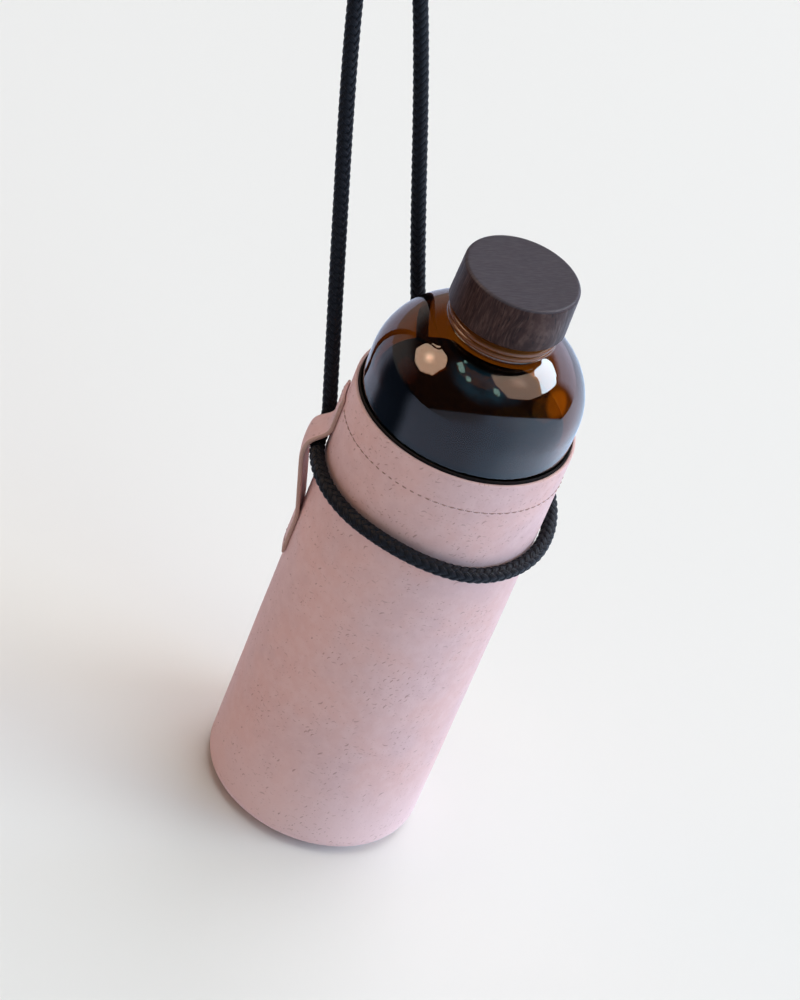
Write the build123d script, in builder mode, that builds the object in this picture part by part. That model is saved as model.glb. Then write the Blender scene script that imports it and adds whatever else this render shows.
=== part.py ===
from build123d import *

import os
from math import pi, radians, sqrt, tan

# A glass bottle with a wooden screw cap, carried in a flecked sheet sleeve by a cord sling.
# The bottle stands upright: +Z is its axis, and the origin is the centre of the sleeve's foot.
# The strap loop that holds the cord is on the -X side, and the sleeve's seam is on the +Y side.

# Sleeve
sleeve_radius = 39.0
sleeve_height = 176.3
sheet_thickness = 1.2
foot_edge_radius = 6.0
turned_edge_width = 8.0
rim_edge_radius = 0.4
sole_thickness = 1.2
sole_inset = 0.2
pad_thickness = 2.8
lining_thickness = 0.45
lining_rise = 0.9
seam_gap_width = 0.5
seam_gap_depth = 0.35

# Stitches, all sewn with one thread
stitch_length = 1.7
stitch_width = 0.45
stitch_height = 0.35
rim_stitch_drop = 11.9
rim_stitch_count = 80
seam_row_spacing = 5.0
seam_stitch_pitch = 3.6
seam_stitch_margin = 6.0
tab_stitch_count = 4
tab_stitch_margin = 4.0

# Strap loop, a strip that lies on the sleeve at both ends and bows out over the cord
tab_bearing = 184.3
tab_width = 13.0
tab_thickness = 1.5
tab_top_lap = 1.6
tab_top_flat = 14.5
tab_bow_height = 6.6
tab_lower_slope_height = 25.0
tab_slope_height = 6.0
tab_length = 69.0
tab_bend_radius = 3.2

# Cord
cord_diameter = 5.5
cord_sleeve_gap = 0.15
cord_tab_gap = 0.75

# Glass bottle
glass_wall = 2.5
glass_floor = 4.5
punt_depth = 3.0
foot_ring_width = 4.0
heel_radius = 7.0
shoulder_start_height = 187.0
shoulder_radius = 24.0
throat_radius = 17.0
throat_height = 1.8
collar_radius = 19.2
collar_height = 5.0
collar_edge_inset = 0.8
neck_radius = 15.6
neck_bore_radius = 13.0
neck_height = 11.6
lip_radius = 0.8
inner_corner_radius = 6.0

# Screw thread of the neck and of the cap's insert
thread_pitch = 4.0
thread_depth = 1.0
thread_root_width = 2.0
thread_crest_width = 1.2
thread_turns = 1.25
thread_start_drop = 7.7
thread_phase = 150
thread_sink = 0.3
insert_thread_root_width = 1.6
insert_thread_crest_width = 1.0
insert_thread_turns = 1.0

# Cap
cap_top_radius = 20.1
cap_foot_radius = 20.6
cap_height = 16.9
cap_edge_radius = 1.2
cap_foot_chamfer = 0.9
cap_collar_gap = 1.0
insert_wall = 1.0
insert_roof = 1.2
insert_foot_gap = 0.7
seal_thickness = 1.6

# Clearances
slide_clearance = 0.3
seat_clearance = 0.05
thread_clearance = 0.3
cut_overrun = 1.0

# Heights and radii that follow from the sizes above
sheet_inner_radius = sleeve_radius - sheet_thickness
foot_bend_radius = sleeve_radius - foot_edge_radius
foot_bend_top = sole_thickness + foot_edge_radius
turned_edge_radius = foot_bend_radius - turned_edge_width
pad_floor = sole_thickness + sheet_thickness
bottle_floor = pad_floor + pad_thickness
lining_radius = sheet_inner_radius - seat_clearance
glass_radius = lining_radius - lining_thickness - slide_clearance
rim_stitch_height = sleeve_height - rim_stitch_drop
stitch_seat_radius = sleeve_radius + seat_clearance + stitch_height / 2
shoulder_centre_radius = glass_radius - shoulder_radius
throat_offset = throat_radius - shoulder_centre_radius
throat_floor = shoulder_start_height + sqrt(shoulder_radius**2 - throat_offset**2)
collar_floor = throat_floor + throat_height
collar_top = collar_floor + collar_height
neck_top = collar_top + neck_height
cap_floor = collar_top + cap_collar_gap
cap_top = cap_floor + cap_height
seal_top = neck_top + seal_thickness
insert_top = seal_top + insert_roof
thread_crest_radius = neck_radius + thread_depth
insert_bore_radius = thread_crest_radius + thread_clearance
insert_radius = insert_bore_radius + insert_wall


# Sleeve wall: one sheet, rolled to a tube, its foot bent in under the bottle
with BuildPart() as sleeve_wall:
    with BuildSketch(Plane.XZ):
        with BuildLine():
            Line((turned_edge_radius, sole_thickness), (foot_bend_radius, sole_thickness))
            TangentArc(
                (foot_bend_radius, sole_thickness),
                (sleeve_radius, foot_bend_top),
                tangent=(1, 0),
            )
            Line((sleeve_radius, foot_bend_top), (sleeve_radius, sleeve_height))
            Line((sleeve_radius, sleeve_height), (sheet_inner_radius, sleeve_height))
            Line((sheet_inner_radius, sleeve_height), (sheet_inner_radius, foot_bend_top))
            TangentArc(
                (sheet_inner_radius, foot_bend_top),
                (foot_bend_radius, pad_floor),
                tangent=(0, -1),
            )
            Line((foot_bend_radius, pad_floor), (turned_edge_radius, pad_floor))
            Line((turned_edge_radius, pad_floor), (turned_edge_radius, sole_thickness))
        make_face()
    revolve(axis=Axis.Z)
    rim_edges = sleeve_wall.edges().filter_by(GeomType.CIRCLE).group_by(Axis.Z)[-1]
    fillet(rim_edges, radius=rim_edge_radius)
    with BuildSketch(Plane.XY.offset(foot_bend_top)):
        with Locations((0, sleeve_radius)):
            Rectangle(seam_gap_width, 2 * seam_gap_depth)
    extrude(amount=sleeve_height - foot_bend_top + cut_overrun, mode=Mode.SUBTRACT)
sleeve_wall.part.label = "sleeve_wall"
export_step(sleeve_wall.part, "parts/sleeve_wall.step")

# Sole: the outer disc under the turned-in edge, which the sleeve stands on
with BuildPart() as sleeve_sole:
    with BuildSketch():
        Circle(foot_bend_radius - sole_inset)
    extrude(amount=sole_thickness)
sleeve_sole.part.label = "sleeve_sole"
export_step(sleeve_sole.part, "parts/sleeve_sole.step")

# Base pad: the soft disc that the glass stands on
with BuildPart() as base_pad:
    with BuildSketch(Plane.XY.offset(pad_floor)):
        Circle(foot_bend_radius - seat_clearance)
    extrude(amount=pad_thickness)
base_pad.part.label = "base_pad"
export_step(base_pad.part, "parts/base_pad.step")

# Lining: a thin dark tube that stands a little above the sheet's rim
with BuildPart() as sleeve_lining:
    with BuildSketch(Plane.XY.offset(foot_bend_top)):
        Circle(lining_radius)
        Circle(lining_radius - lining_thickness, mode=Mode.SUBTRACT)
    extrude(amount=sleeve_height + lining_rise - foot_bend_top)
sleeve_lining.part.label = "sleeve_lining"
export_step(sleeve_lining.part, "parts/sleeve_lining.step")

# Rim stitching: one row round the sleeve that leaves out the strap loop
tab_half_angle = 90 * tab_width / (pi * sleeve_radius)
rim_stitch_pitch = (360 - 2 * tab_half_angle) / (rim_stitch_count + 1)
with BuildPart(Plane.XY.offset(rim_stitch_height)) as rim_stitching:
    with PolarLocations(
        stitch_seat_radius,
        rim_stitch_count,
        start_angle=tab_bearing + tab_half_angle + rim_stitch_pitch,
        angular_range=rim_stitch_pitch * rim_stitch_count,
    ):
        Box(stitch_height, stitch_length, stitch_width)
rim_stitching.part.label = "rim_stitching"
export_step(rim_stitching.part, "parts/rim_stitching.step")

# Seam stitching: a row on each side of the sleeve's back seam
seam_floor = foot_bend_top + seam_stitch_margin
seam_rise = rim_stitch_height - seam_stitch_margin - seam_floor
seam_stitch_count = int(seam_rise / seam_stitch_pitch)
seam_row_angle = 180 * seam_row_spacing / (pi * sleeve_radius)
with BuildPart(Plane.XY.offset(seam_floor)) as seam_stitching:
    with PolarLocations(
        stitch_seat_radius,
        2,
        start_angle=90 - seam_row_angle / 2,
        angular_range=seam_row_angle,
        endpoint=True,
    ):
        with Locations(*[(0, 0, seam_stitch_pitch * i) for i in range(seam_stitch_count + 1)]):
            Box(stitch_height, stitch_width, stitch_length)
seam_stitching.part.label = "seam_stitching"
export_step(seam_stitching.part, "parts/seam_stitching.step")

# Strap loop: a strip bent over the cord, turned about the sleeve's axis so that it fits the sleeve
tab_flat_radius = sleeve_radius + seat_clearance + tab_thickness / 2
tab_bow_radius = sleeve_radius + cord_sleeve_gap + cord_diameter + cord_tab_gap + tab_thickness / 2
tab_top = rim_stitch_height + tab_top_lap
tab_foot = tab_top - tab_length
bow_top = tab_top - tab_top_flat - tab_slope_height
bow_foot = bow_top - tab_bow_height
with BuildPart() as tab:
    with BuildSketch(Plane.XZ.rotated((0, 0, tab_bearing - tab_half_angle))):
        with BuildLine():
            FilletPolyline(
                (tab_flat_radius, tab_top),
                (tab_flat_radius, tab_top - tab_top_flat),
                (tab_bow_radius, bow_top),
                (tab_bow_radius, bow_foot),
                (tab_flat_radius, bow_foot - tab_lower_slope_height),
                (tab_flat_radius, tab_foot),
                radius=tab_bend_radius,
            )
            offset(amount=tab_thickness / 2)
        make_face()
    revolve(axis=Axis.Z, revolution_arc=2 * tab_half_angle)
tab.part.label = "tab"
export_step(tab.part, "parts/tab.step")

# Strap stitching: a row across each end of the strap loop
tab_stitch_radius = sleeve_radius + 2 * seat_clearance + tab_thickness + stitch_height / 2
tab_stitch_arc = 2 * tab_half_angle * (tab_stitch_count - 1) / (tab_stitch_count + 1)
tab_row_drop = rim_stitch_height - tab_foot - tab_stitch_margin
with BuildPart(Plane.XY.offset(rim_stitch_height)) as tab_stitching:
    with PolarLocations(
        tab_stitch_radius,
        tab_stitch_count,
        start_angle=tab_bearing - tab_stitch_arc / 2,
        angular_range=tab_stitch_arc,
        endpoint=True,
    ):
        with Locations((0, 0, 0), (0, 0, -tab_row_drop)):
            Box(stitch_height, stitch_length, stitch_width)
tab_stitching.part.label = "tab_stitching"
export_step(tab_stitching.part, "parts/tab_stitching.step")

# Glass bottle: a thick-walled barrel with a pushed-up floor, a round shoulder and a ribbed collar
inner_radius = glass_radius - glass_wall
inner_shoulder_radius = shoulder_radius - glass_wall
inner_neck_foot = shoulder_start_height + sqrt(
    inner_shoulder_radius**2 - (neck_bore_radius - shoulder_centre_radius) ** 2
)
punt_radius = glass_radius - heel_radius - foot_ring_width
glass_floor_top = bottle_floor + glass_floor
rib_height = (collar_height - collar_edge_inset) / 2
rib_inner_radius = collar_radius - rib_height / 2
with BuildPart() as glass_bottle:
    with BuildSketch(Plane.XZ):
        with BuildLine():
            Spline(
                (0, bottle_floor + punt_depth),
                (punt_radius, bottle_floor),
                tangents=[(1, 0), (1, -punt_depth / punt_radius)],
            )
            Line((punt_radius, bottle_floor), (glass_radius - heel_radius, bottle_floor))
            TangentArc(
                (glass_radius - heel_radius, bottle_floor),
                (glass_radius, bottle_floor + heel_radius),
                tangent=(1, 0),
            )
            Line((glass_radius, bottle_floor + heel_radius), (glass_radius, shoulder_start_height))
            TangentArc(
                (glass_radius, shoulder_start_height),
                (throat_radius, throat_floor),
                tangent=(0, 1),
            )
            Line((throat_radius, throat_floor), (throat_radius, collar_floor))
            Line((throat_radius, collar_floor), (rib_inner_radius, collar_floor))
            TangentArc(
                (rib_inner_radius, collar_floor),
                (rib_inner_radius, collar_floor + rib_height),
                tangent=(1, 0),
            )
            TangentArc(
                (rib_inner_radius, collar_floor + rib_height),
                (rib_inner_radius, collar_floor + 2 * rib_height),
                tangent=(1, 0),
            )
            Line(
                (rib_inner_radius, collar_floor + 2 * rib_height),
                (rib_inner_radius - collar_edge_inset, collar_top),
            )
            Line((rib_inner_radius - collar_edge_inset, collar_top), (neck_radius, collar_top))
            Line((neck_radius, collar_top), (neck_radius, neck_top))
            Line((neck_radius, neck_top), (neck_bore_radius, neck_top))
            Line((neck_bore_radius, neck_top), (neck_bore_radius, inner_neck_foot))
            TangentArc(
                (inner_radius, shoulder_start_height),
                (neck_bore_radius, inner_neck_foot),
                tangent=(0, 1),
            )
            Line(
                (inner_radius, shoulder_start_height),
                (inner_radius, glass_floor_top + inner_corner_radius),
            )
            TangentArc(
                (inner_radius, glass_floor_top + inner_corner_radius),
                (inner_radius - inner_corner_radius, glass_floor_top),
                tangent=(0, -1),
            )
            Line((inner_radius - inner_corner_radius, glass_floor_top), (0, glass_floor_top + punt_depth))
            Line((0, glass_floor_top + punt_depth), (0, bottle_floor + punt_depth))
        make_face()
    revolve(axis=Axis.Z)
    lip_edges = glass_bottle.edges().filter_by(GeomType.CIRCLE).group_by(Axis.Z)[-1]
    fillet(lip_edges, radius=lip_radius)

    # The screw thread winds up the neck
    thread_floor = neck_top - thread_start_drop
    with BuildLine():
        Helix(thread_pitch, thread_pitch * thread_turns, neck_radius, center=(0, 0, thread_floor))
    with BuildSketch(Plane.XZ):
        with BuildLine():
            Polyline(
                (neck_radius - thread_sink, thread_floor - thread_root_width / 2),
                (thread_crest_radius, thread_floor - thread_crest_width / 2),
                (thread_crest_radius, thread_floor + thread_crest_width / 2),
                (neck_radius - thread_sink, thread_floor + thread_root_width / 2),
                close=True,
            )
        make_face()
    sweep(is_frenet=True)
glass_bottle.part.label = "glass_bottle"
export_step(glass_bottle.part, "parts/glass_bottle.step")

# Cap insert: the threaded liner inside the wooden cap
insert_foot = cap_floor + insert_foot_gap
insert_crest_radius = neck_radius + thread_clearance
insert_thread_floor = thread_floor + thread_pitch * (thread_phase / 360 - 1 / 2)
with BuildPart() as cap_insert:
    with BuildSketch(Plane.XY.offset(insert_foot)):
        Circle(insert_radius)
        Circle(insert_bore_radius, mode=Mode.SUBTRACT)
    extrude(amount=seal_top - insert_foot)
    with BuildSketch(Plane.XY.offset(seal_top)):
        Circle(insert_radius)
    extrude(amount=insert_roof)
    with BuildLine(Plane.XY.offset(insert_thread_floor).rotated((0, 0, thread_phase))):
        Helix(thread_pitch, thread_pitch * insert_thread_turns, insert_bore_radius)
    with BuildSketch(Plane.XZ.rotated((0, 0, thread_phase))):
        with BuildLine():
            Polyline(
                (insert_bore_radius + thread_sink, insert_thread_floor - insert_thread_root_width / 2),
                (insert_crest_radius, insert_thread_floor - insert_thread_crest_width / 2),
                (insert_crest_radius, insert_thread_floor + insert_thread_crest_width / 2),
                (insert_bore_radius + thread_sink, insert_thread_floor + insert_thread_root_width / 2),
                close=True,
            )
        make_face()
    sweep(is_frenet=True)
cap_insert.part.label = "cap_insert"
export_step(cap_insert.part, "parts/cap_insert.step")

# Cap seal: a disc between the lip of the glass and the insert's roof
with BuildPart() as cap_seal:
    with BuildSketch(Plane.XY.offset(neck_top)):
        Circle(thread_crest_radius)
    extrude(amount=seal_thickness)
cap_seal.part.label = "cap_seal"
export_step(cap_seal.part, "parts/cap_seal.step")

# Cap shell: turned wood, slightly wider at its foot, bored out for the insert
with BuildPart() as cap_shell:
    with BuildSketch(Plane.XZ):
        with BuildLine():
            Polyline(
                (0, insert_top),
                (insert_radius + seat_clearance, insert_top),
                (insert_radius + seat_clearance, cap_floor),
                (cap_foot_radius, cap_floor),
                (cap_top_radius, cap_top),
                (0, cap_top),
                close=True,
            )
        make_face()
    revolve(axis=Axis.Z)
    top_edge = cap_shell.edges().filter_by(GeomType.CIRCLE).group_by(Axis.Z)[-1]
    fillet(top_edge, radius=cap_edge_radius)
    foot_edges = cap_shell.edges().filter_by(GeomType.CIRCLE).group_by(Axis.Z)[0]
    chamfer(foot_edges.sort_by(SortBy.RADIUS)[-1], length=cap_foot_chamfer)
cap_shell.part.label = "cap_shell"
export_step(cap_shell.part, "parts/cap_shell.step")

# Cord: from under the strap loop up the left strand, over the loop at the top, down the right
# strand, and round the back, the right side and the front of the sleeve into the strap again
strand_route = [
    (-41.9, 0.0, 143.4),
    (-41.9, 5.6, 143.4),
    (-42.2, 9.6, 146.0),
    (-44.1, 10.4, 151.6),
    (-87.5, 3.2, 316.0),
    (-84.7, 9.0, 324.0),
    (-77.2, 18.1, 324.0),
    (-68.6, 23.6, 316.0),
    (-25.0, 36.4, 169.0),
    (-18.6, 39.4, 161.6),
    (-12.6, 41.0, 159.2),
]
ring_route = [
    (-12.6, 41.0, 159.2),
    (-6.6, 42.6, 156.8),
    (8.3, 41.9, 151.8),
    (23.7, 35.5, 147.8),
    (35.5, 23.7, 144.2),
    (41.9, 8.3, 141.2),
    (41.9, -8.3, 139.4),
    (35.5, -23.7, 138.6),
    (23.7, -35.5, 138.8),
    (8.3, -41.9, 141.3),
    (-8.3, -41.9, 143.2),
    (-23.7, -35.5, 143.2),
    (-35.5, -23.7, 143.3),
    (-41.9, -8.3, 143.4),
    (-41.9, 0.0, 143.4),
]
longest_share = 0.45


def corner_radii(route):
    """The largest arc that each corner's two runs allow."""
    points = [Vector(*point) for point in route]
    radii = []
    for before, corner, after in zip(points, points[1:], points[2:]):
        turn = radians((corner - before).get_angle(after - corner))
        shorter_run = min((corner - before).length, (after - corner).length)
        radii.append(longest_share * shorter_run / tan(turn / 2))
    return radii


def report_cord(name, route, path, solid):
    """Prints a cord stretch's arcs, and its volume beside its section times its length."""
    section = pi * cord_diameter**2 / 4
    print(name, "radii", [round(radius, 1) for radius in corner_radii(route)])
    volume_share = solid.volume / (section * path.length)
    print(name, "length", round(path.length, 1), "volume share", round(volume_share, 4))


# Sling strands: the free stretch, held up by its loop
with BuildPart() as sling_strands:
    with BuildLine() as strand_path:
        FilletPolyline(*strand_route, radius=corner_radii(strand_route))
    with BuildSketch(Plane(strand_path.line @ 0, z_dir=strand_path.line % 0)):
        Circle(cord_diameter / 2)
    sweep()
sling_strands.part.label = "sling_strands"
export_step(sling_strands.part, "parts/sling_strands.step")
report_cord("sling_strands", strand_route, strand_path.wire(), sling_strands.part)

# Sling ring: the stretch that goes round the sleeve
with BuildPart() as sling_ring:
    with BuildLine() as ring_path:
        FilletPolyline(*ring_route, radius=corner_radii(ring_route))
    with BuildSketch(Plane(ring_path.line @ 0, z_dir=ring_path.line % 0)):
        Circle(cord_diameter / 2)
    sweep()
sling_ring.part.label = "sling_ring"
export_step(sling_ring.part, "parts/sling_ring.step")
report_cord("sling_ring", ring_route, ring_path.wire(), sling_ring.part)
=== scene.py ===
"""An amber glass bottle in a flecked sleeve, held in a braided cord sling.

Sizes are in metres and angles in degrees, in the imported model's frame: the bottle stands on z = 0
with its axis along +Z, the strap loop is at -X and the sleeve's seam at +Y.
"""

from math import acos, copysign, cos, degrees, exp, pi, radians, sin, tan

import bpy
from mathutils import Matrix, Vector, noise


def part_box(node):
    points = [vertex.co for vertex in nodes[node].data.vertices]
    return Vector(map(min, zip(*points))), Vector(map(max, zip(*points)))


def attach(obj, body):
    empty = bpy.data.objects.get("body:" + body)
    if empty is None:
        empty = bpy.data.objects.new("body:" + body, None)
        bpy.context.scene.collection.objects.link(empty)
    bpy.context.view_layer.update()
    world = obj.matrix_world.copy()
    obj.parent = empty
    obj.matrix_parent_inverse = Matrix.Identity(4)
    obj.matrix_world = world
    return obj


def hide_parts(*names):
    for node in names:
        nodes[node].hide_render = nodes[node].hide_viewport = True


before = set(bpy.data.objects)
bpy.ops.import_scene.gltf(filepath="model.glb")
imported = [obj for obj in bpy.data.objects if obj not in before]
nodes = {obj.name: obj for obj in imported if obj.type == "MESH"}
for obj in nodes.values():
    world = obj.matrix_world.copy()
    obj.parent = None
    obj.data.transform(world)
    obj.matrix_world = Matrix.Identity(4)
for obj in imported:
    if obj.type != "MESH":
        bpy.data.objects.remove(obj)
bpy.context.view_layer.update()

# Camera: it looks down at the upright bottle and is rolled to the photograph's slant
CAMERA_AIM = Vector((0, 0, 0.1))
CAMERA_ELEVATION = 36.93
CAMERA_ROLL = 22.85
CAMERA_DISTANCE = 1.484
CAMERA_RIGHT = 0.0016
CAMERA_UP = 0.0256
CAMERA_LENS = 154.8
CAMERA_SENSOR = 36.0

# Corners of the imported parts
SLEEVE_LOW, SLEEVE_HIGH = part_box("sleeve_wall")
GLASS_LOW, GLASS_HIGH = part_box("glass_bottle")
CAP_LOW, CAP_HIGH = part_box("cap_shell")
INSERT_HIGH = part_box("cap_insert")[1]
SLEEVE_RADIUS = SLEEVE_HIGH.x

# Sleeve sheet
SHEET = 0.0012
FOOT_RADIUS = 0.006
TURNED_EDGE = 0.008
RIM_ROUND = 0.0004
RIM_CUT = 0.2
SHEET_WANDER = 0.00008
SHEET_PROUD = 0.0001
SEAM_BEARING = 90
SEAM_WIDTH = 0.0005
SEAM_DEPTH = 0.00035
SEAM_LIP = 0.00012

# Stitches
THREAD_RADIUS = 0.00024
STITCH_LENGTH = 0.0018
STITCH_SIDES = 8
STITCH_ROWS = 9
HOLE_RADIUS = THREAD_RADIUS * 0.7
HOLE_SIDES = 8
RIM_STITCH_DROP = 0.0119
RIM_STITCH_SINK = 0.0002
RIM_STITCHES = 80
SEAM_ROW_SPACING = 0.005
SEAM_STITCH_PITCH = 0.0036
SEAM_STITCH_MARGIN = 0.006
SEAM_STITCH_SINK = 0.00012
TAB_STITCHES = 4
TAB_STITCH_MARGIN = 0.004
TAB_STITCH_SINK = 0.00032

# Strap loop
TAB_BEARING = 184.3
TAB_WIDTH = 0.013
TAB_THICKNESS = 0.0015
TAB_EDGE = TAB_THICKNESS * 0.35
TAB_TOP_LAP = 0.0016
TAB_LENGTH = 0.069
TAB_FLAT = 0.0145
TAB_SLOPE = 0.006
TAB_BOW = 0.0066
TAB_LOWER_SLOPE = 0.025
TAB_BOW_RISE = 0.00635
TAB_GAP = 0.00005
TAB_CREASE = 0.0017
TAB_CREASE_WIDTH = 0.0003
TAB_CREASE_DEPTH = 0.00015
TAB_STEP = 0.0005
TAB_SMOOTHING = 5
TAB_COLUMNS = 64
TAB_END_SHARE = 0.55

# Cord
CORD_DIAMETER = 0.0055
CORD_STEP = 0.0006
CORE_SIDES = 12
PLAITS = 6
PLAIT_ANGLE = 33
PLAIT_SIDES = 10
PLAIT_WIDTH = 0.00195
PLAIT_THICKNESS = 0.001
PLAIT_LIFT = 0.00034

# The cord's route, from under the strap up the left strand, over its loop, down the right strand
# and round the sleeve into the strap again
CORD_ROUTE = [
    (-0.0419, 0.0, 0.1434),
    (-0.0419, 0.0056, 0.1434),
    (-0.0422, 0.0096, 0.1460),
    (-0.0441, 0.0104, 0.1516),
    (-0.0875, 0.0032, 0.3160),
    (-0.0847, 0.0090, 0.3240),
    (-0.0772, 0.0181, 0.3240),
    (-0.0686, 0.0236, 0.3160),
    (-0.0250, 0.0364, 0.1690),
    (-0.0186, 0.0394, 0.1616),
    (-0.0126, 0.0410, 0.1592),
    (-0.0066, 0.0426, 0.1568),
    (0.0083, 0.0419, 0.1518),
    (0.0237, 0.0355, 0.1478),
    (0.0355, 0.0237, 0.1442),
    (0.0419, 0.0083, 0.1412),
    (0.0419, -0.0083, 0.1394),
    (0.0355, -0.0237, 0.1386),
    (0.0237, -0.0355, 0.1388),
    (0.0083, -0.0419, 0.1413),
    (-0.0083, -0.0419, 0.1432),
    (-0.0237, -0.0355, 0.1432),
    (-0.0355, -0.0237, 0.1433),
    (-0.0419, -0.0083, 0.1434),
    (-0.0419, 0.0, 0.1434),
]

# Glass bottle
GLASS_RADIUS = 0.037
GLASS_WALL = 0.0025
GLASS_FLOOR = 0.0045
PUNT_DEPTH = 0.003
HEEL_RADIUS = 0.007
FOOT_RING = 0.004
SHOULDER_START = 0.187
SHOULDER_RADIUS = 0.024
THROAT_RADIUS = 0.017
THROAT_HEIGHT = 0.0018
THROAT_FILLET = 0.0012
THROAT_FILLET_RISE = 0.0011
THROAT_EASE = 0.0003
COLLAR_RADIUS = 0.0192
COLLAR_HEIGHT = 0.005
COLLAR_INSET = 0.0008
COLLAR_RIBS = 2
COLLAR_UNDERCUT = 0.0002
NECK_RADIUS = 0.0156
NECK_BORE = 0.013
BORE_EASE = 0.0006
LIP_RADIUS = 0.0008
INNER_CORNER = 0.006
THREAD_PITCH = 0.004
THREAD_DEPTH = 0.001
THREAD_HALF_WIDTH = 0.0009
THREAD_TURNS = 1.25
THREAD_DROP = 0.0077
THREAD_FADE = 0.06

# Shares of a disc's radius, from near its middle to its edge and from near its edge back
OUTWARD_SHARES = [step / 16 for step in range(1, 17)]
INWARD_SHARES = [1 - share for share in OUTWARD_SHARES]

# Cap
CAP_TOP_RADIUS = 0.0201
CAP_FOOT_RADIUS = 0.0206
CAP_EDGE = 0.0012
CAP_CHAMFER = 0.0009
CAP_FOOT_EASE = 0.0001
CAP_TOP_DISH = 0.00012
CAP_BORE_GAP = 0.00005

# Colours of the sleeve's sheet, among them painted light that brightens it towards the foot, a
# painted highlight along the foot crease and a cut-edge tone deepened by painted shade; the height
# over which
# the painted foot light fades; the height and width of its foot crease, and its flecks:
# cell, length, width, and the share of cells that have one
SHEET_PINK = (0.735, 0.450, 0.437, 1)
SHEET_GREY = (0.695, 0.455, 0.465, 1)
SHEET_PALE = (0.80, 0.56, 0.565, 1)
# Painted light: the sheet's brighter tone near the floor
SHEET_FOOT_LIGHT = (0.86, 0.60, 0.605, 1)
# Painted highlight: the pale line along the foot crease
SHEET_CREASE_HIGHLIGHT = (0.90, 0.70, 0.70, 1)
# The cut edges' own darker tone, deepened by painted shade
SHEET_CUT_SHADED = (0.50, 0.32, 0.28, 1)
# Height over which the painted foot light fades out
FOOT_LIGHT_FADE = 0.045
CREASE_HEIGHT = 0.0034
CREASE_WIDTH = 0.00035
FLECK_BROWN = (0.33, 0.125, 0.09, 1)
FLECK_DARK = (0.28, 0.105, 0.075, 1)
FLECKS = (0.0026, 0.0011, 0.00025, 0.5)
SMALL_FLECKS = (0.0014, 0.00042, 0.00021, 0.34)
LARGE_FLECKS = (0.0068, 0.0014, 0.00036, 0.35)

# Colours of the other materials
WOOD_DARK = (0.024, 0.0085, 0.007, 1)
WOOD_BROWN = (0.044, 0.018, 0.0145, 1)
WOOD_FIBRE = (0.115, 0.062, 0.050, 1)
WOOD_PORE = (0.008, 0.004, 0.004, 1)
# Painted sheen: the cap top's cooler, paler tones
WOOD_TOP_SHEEN_DARK = (0.046, 0.040, 0.050, 1)
WOOD_TOP_SHEEN_PALE = (0.064, 0.058, 0.071, 1)
WOOD_TURN = -35
WOOD_SWAY = (0.004, 0.004, 0.004)
# Depths below the cap's top over which its painted sheen fades in
WOOD_TOP_SHEEN_FADE = (0.0011, 0.0003)
GLASS_CLEAR = (1.0, 0.985, 0.95, 1)
GLASS_SHINE = (0.86, 0.93, 1.0, 1)
GLASS_IOR = 1.5
GLASS_AMBER = (0.75, 0.56, 0.12, 1)
GLASS_DENSITY = 1400.0
# Painted light: the ribs' amber colour stands in for light shining through the collar glass
GLASS_RIB_GLOW = (0.27, 0.082, 0.015, 1)
RIBS_REACH = (0.0158, 0.0164)
RIBS_FOOT = (0.2106, 0.2118)
RIBS_TOP = (0.2178, 0.2182)
CORD_BLACK = (0.003, 0.0035, 0.005, 1)
CORD_FUZZ = (0.010, 0.0115, 0.017, 1)
CORD_PATCH = (0.006, 0.006, 0.009, 1)
THREAD_DARK = (0.30, 0.155, 0.13, 1)
THREAD_PALE = (0.42, 0.24, 0.21, 1)
# Painted shade of the needle holes
HOLE_SHADE_DARK = (0.09, 0.045, 0.04, 1)
HOLE_SHADE_PALE = (0.16, 0.085, 0.075, 1)
# The lining's near-black: partly its own colour, partly painted shade of the dark band inside the
# rim
LINING_AND_SHADE_DARK = (0.003, 0.003, 0.003, 1)
LINING_AND_SHADE_PALE = (0.011, 0.009, 0.009, 1)
FELT_DARK = (0.05, 0.045, 0.045, 1)
FELT_PALE = (0.12, 0.11, 0.11, 1)
INSERT_DARK = (0.02, 0.016, 0.015, 1)
INSERT_PALE = (0.035, 0.03, 0.03, 1)
SEAL_DARK = (0.55, 0.55, 0.53, 1)
SEAL_PALE = (0.66, 0.66, 0.64, 1)

# Floor, and the distances between which it fades to the pale backdrop
FLOOR_TONE = (0.832, 0.808, 0.797, 1)
FLOOR_FADE = (0.8, 2.6)
FLOOR_REACH = 60.0
FLOOR_SIDES = 96

# The room: its soft light, the pale backdrop, and what glossy surfaces mirror of it
WORLD_SOFT = (0.207, 0.202, 0.165, 1)
WORLD_PALE = (0.86, 0.86, 0.86, 1)
ROOM_DARK = (0.012, 0.02, 0.03, 1)
ROOM_TEAL = (0.14, 0.48, 0.70, 1)
ROOM_HAZE = (0.42, 0.41, 0.39, 1)
ROOM_GLOW = (1.6, 1.75, 2.25, 1)
ROOM_AMBER = (2.4, 0.5, 0.02, 1)
HAZE_AZIMUTH = 135
GLOW_AZIMUTH = 62
TEAL_WAY = (0.13, -0.224, 0.966)
AMBER_WAY = (0.894, 0.325, 0.309)

# The table that glossy surfaces mirror: its tones, their azimuths and its far edge
TABLE_MID = (0.68, 0.78, 1.02, 1)
TABLE_BLUE = (0.88, 1.14, 1.52, 1)
TABLE_BRIGHT = (1.5, 1.85, 2.35, 1)
TABLE_DARK = (0.05, 0.075, 0.12, 1)
TABLE_FAR = (0.42, 0.45, 0.55, 1)
TABLE_BRIGHT_AZIMUTH = 8
TABLE_DARK_AZIMUTH = 192
TABLE_FAR_AZIMUTH = -105
TABLE_EDGE = (-0.417, 0.540, 0.731)
TABLE_EDGE_DROP = 0.22

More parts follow.
